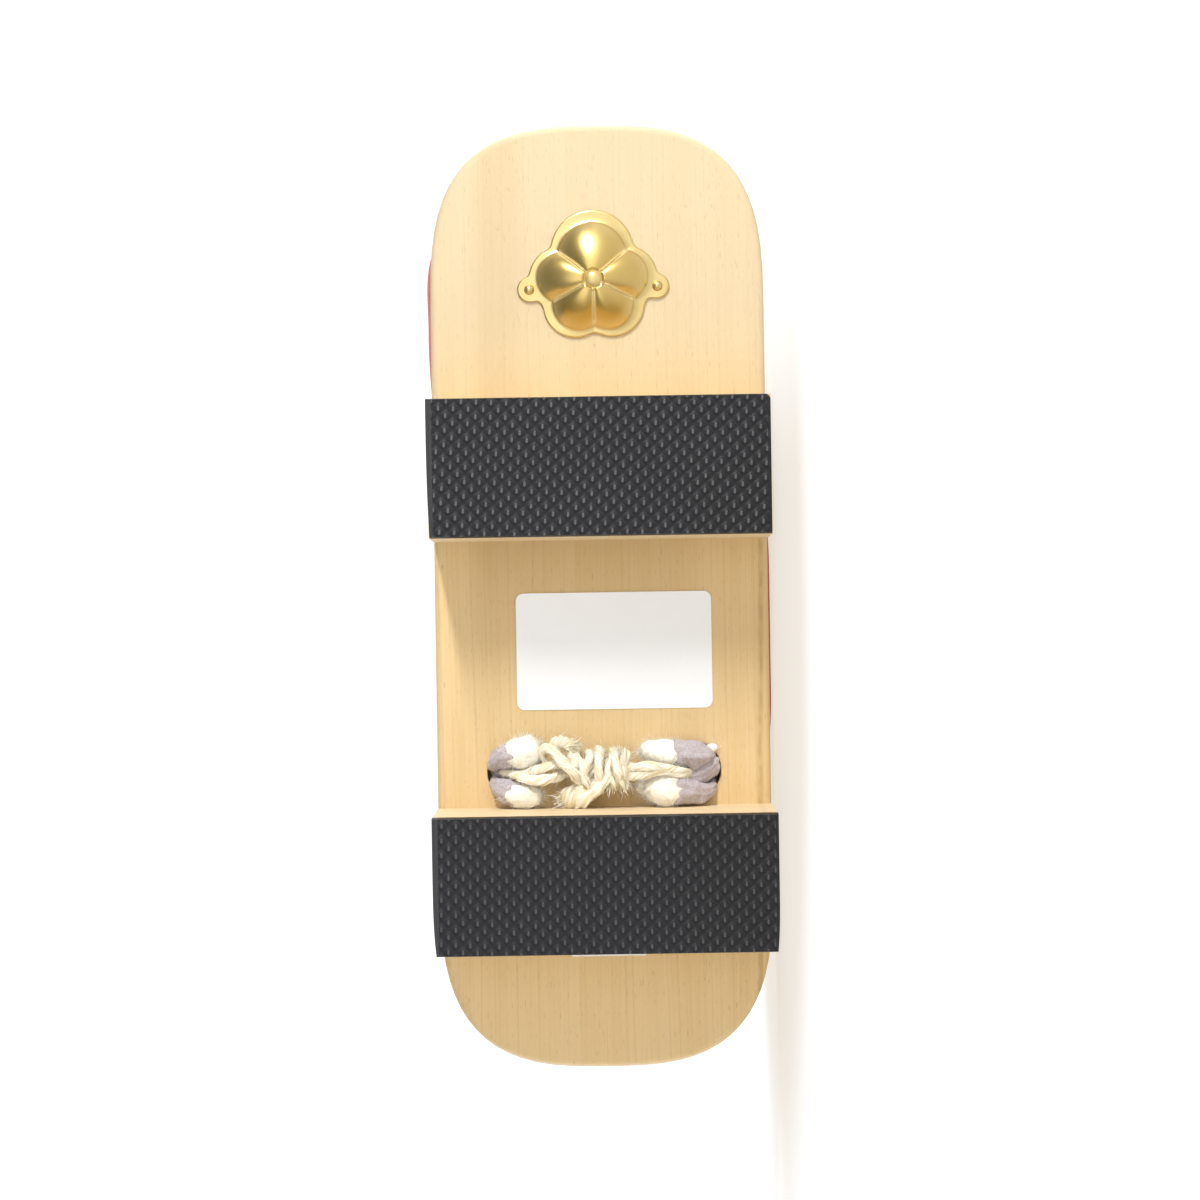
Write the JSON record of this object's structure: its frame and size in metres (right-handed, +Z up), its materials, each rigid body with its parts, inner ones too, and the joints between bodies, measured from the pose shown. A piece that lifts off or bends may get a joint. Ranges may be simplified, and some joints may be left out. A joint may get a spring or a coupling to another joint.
{
  "type": "geta",
  "caption": "Toothed wooden geta sandal lying on its side, with rubber treads, a padded thong strap tied underneath, a flower-shaped brass cover and a blank label.",
  "frame": {"origin": "on the floor, under the middle of the laid shoe's box", "axes": "+X from heel to toe, +Y out of the foot surface, which leans back 1.7 degrees, +Z up; the sole faces -Y and the shoe's left side is down"},
  "size_m": [0.24, 0.0754, 0.0877],
  "materials": {
    "paulownia": "planed, unvarnished",
    "tread_rubber": "matt, moulded in small pyramids",
    "strap_cloth": "crepe",
    "hemp": "twisted fibre",
    "brass": "stamped and polished",
    "paper": "smooth paper"
  },
  "bodies": {
    "root": {"dai": "paulownia", "front_tread": "tread_rubber", "rear_tread": "tread_rubber", "hanao": "strap_cloth", "rear_tie": "hemp", "maegane": "brass", "maegane_nail_left": "brass", "maegane_nail_right": "brass", "paper_label": "paper"}
  },
  "joints": []
}
